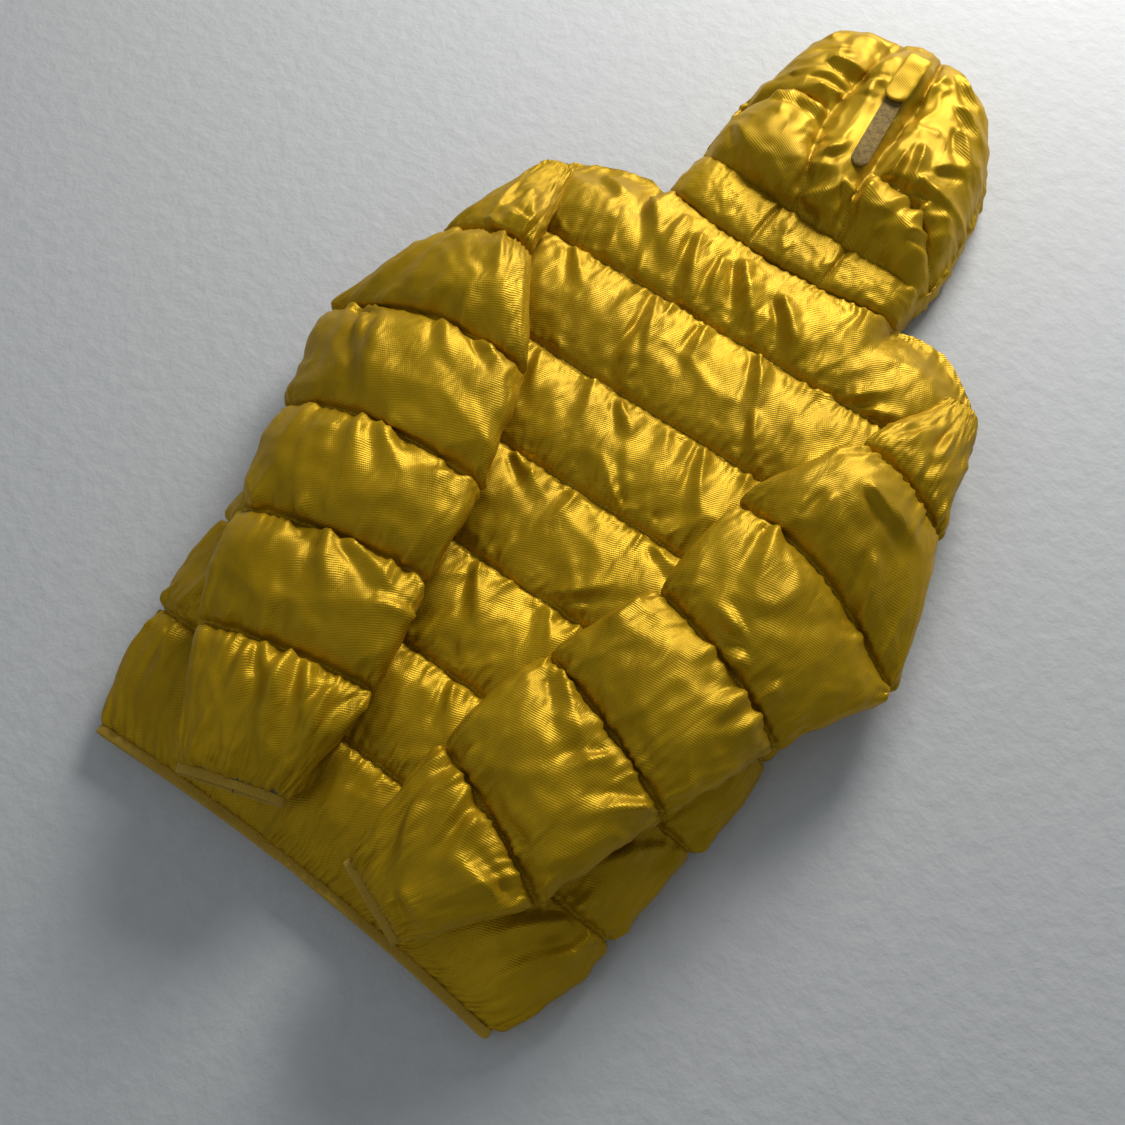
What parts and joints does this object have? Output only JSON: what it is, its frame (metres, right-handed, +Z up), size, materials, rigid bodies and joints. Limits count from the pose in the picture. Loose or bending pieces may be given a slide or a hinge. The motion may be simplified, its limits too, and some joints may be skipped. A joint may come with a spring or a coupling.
{
  "type": "hooded down jacket",
  "caption": "Hooded quilted down jacket lying face down, sleeves folded over its back, with swinging sleeves, a hood that turns up and running zips.",
  "frame": {"origin": "on the ground, under the middle of the jacket's box", "axes": "+Y from the hem to the hood, +X to the wearer's right as the jacket lies back up, +Z up"},
  "size_m": [0.6184, 1.0236, 0.116],
  "materials": {
    "shell_fabric": "glossy ripstop nylon, mustard",
    "lining": "smooth matte nylon taffeta",
    "down": "loose down and feather",
    "elastic_binding": "matte stretch binding",
    "loop_strip": "brushed loop tape",
    "zip_tape": "woven polyester tape",
    "zip_teeth": "moulded polyester coil",
    "zip_metal": "painted zinc"
  },
  "bodies": {
    "torso": {"back_down_fill": "down", "back_lining": "lining", "back_shell": "shell_fabric", "collar_back_down_fill": "down", "collar_back_shell": "shell_fabric", "collar_side_seams": "shell_fabric", "front_zip_stops": "zip_metal", "front_zip_tapes": "zip_tape", "front_zip_teeth": "zip_teeth", "hanger_loop": "elastic_binding", "hem_binding": "elastic_binding", "left_collar_front": "shell_fabric", "left_front_down_fill": "down", "left_front_lining": "lining", "left_front_shell": "shell_fabric", "left_pocket_bag": "lining", "left_pocket_zip_tapes": "zip_tape", "left_pocket_zip_teeth": "zip_teeth", "pocket_zip_stops": "zip_metal", "right_collar_front": "shell_fabric", "right_front_down_fill": "down", "right_front_lining": "lining", "right_front_shell": "shell_fabric", "right_pocket_bag": "lining", "right_pocket_zip_tapes": "zip_tape", "right_pocket_zip_teeth": "zip_teeth", "shoulder_seams": "shell_fabric", "side_seams": "shell_fabric"},
    "front_zip_pull": {"front_zip_pull": "zip_metal"},
    "front_zip_slider": {"front_zip_slider": "zip_metal"},
    "hood": {"hood_brim": "shell_fabric", "hood_centre_panel": "shell_fabric", "hood_down_fill": "down", "hood_edge_binding": "elastic_binding", "hood_left_panel": "shell_fabric", "hood_lining": "lining", "hood_loop_strip": "loop_strip", "hood_right_panel": "shell_fabric", "hood_side_seam": "shell_fabric", "left_hood_cheek": "shell_fabric", "right_hood_cheek": "shell_fabric"},
    "hood_tab": {"hood_tab": "shell_fabric"},
    "left_sleeve": {"left_cuff_binding": "elastic_binding", "left_sleeve_lining": "lining", "left_sleeve_seams": "shell_fabric", "left_sleeve_under": "shell_fabric", "left_sleeve_upper_down_fill": "down", "left_sleeve_upper_shell": "shell_fabric"},
    "left_pocket_zip_pull": {"left_pocket_zip_pull": "zip_metal"},
    "left_pocket_zip_slider": {"left_pocket_zip_slider": "zip_metal"},
    "right_sleeve": {"right_cuff_binding": "elastic_binding", "right_sleeve_lining": "lining", "right_sleeve_seams": "shell_fabric", "right_sleeve_under": "shell_fabric", "right_sleeve_upper_down_fill": "down", "right_sleeve_upper_shell": "shell_fabric"},
    "right_pocket_zip_pull": {"right_pocket_zip_pull": "zip_metal"},
    "right_pocket_zip_slider": {"right_pocket_zip_slider": "zip_metal"}
  },
  "joints": [
    {"name": "left_sleeve_swing", "type": "hinge", "parent": "torso", "child": "left_sleeve", "pos_m": [-0.222, 0.118, 0.07], "axis": [0, 0, -1], "range_deg": [0, 100]},
    {"name": "right_sleeve_swing", "type": "hinge", "parent": "torso", "child": "right_sleeve", "pos_m": [0.222, 0.118, 0.07], "axis": [0, 0, 1], "range_deg": [0, 100]},
    {"name": "hood_turn_up", "type": "hinge", "parent": "torso", "child": "hood", "pos_m": [0, 0.252, 0.052], "axis": [1, 0, 0], "range_deg": [0, 105]},
    {"name": "hood_tab_peel", "type": "hinge", "parent": "hood", "child": "hood_tab", "pos_m": [0.006, 0.45, 0.095], "axis": [-1, 0, 0], "range_deg": [0, 120]},
    {"name": "front_zip_slide", "type": "slide", "parent": "torso", "child": "front_zip_slider", "axis": [0, -1, 0], "range_m": [0, 0.69]},
    {"name": "front_zip_pull_turn", "type": "hinge", "parent": "front_zip_slider", "child": "front_zip_pull", "pos_m": [0, 0.228, 0.0125], "axis": [1, 0, 0], "range_deg": [0, 120]},
    {"name": "left_pocket_zip_slide", "type": "slide", "parent": "torso", "child": "left_pocket_zip_slider", "axis": [0, -1, 0], "range_m": [0, 0.12]},
    {"name": "left_pocket_zip_pull_turn", "type": "hinge", "parent": "left_pocket_zip_slider", "child": "left_pocket_zip_pull", "pos_m": [-0.165, -0.181, 0.0125], "axis": [1, 0, 0], "range_deg": [0, 120]},
    {"name": "right_pocket_zip_slide", "type": "slide", "parent": "torso", "child": "right_pocket_zip_slider", "axis": [0, -1, 0], "range_m": [0, 0.12]},
    {"name": "right_pocket_zip_pull_turn", "type": "hinge", "parent": "right_pocket_zip_slider", "child": "right_pocket_zip_pull", "pos_m": [0.165, -0.181, 0.0125], "axis": [1, 0, 0], "range_deg": [0, 120]}
  ]
}
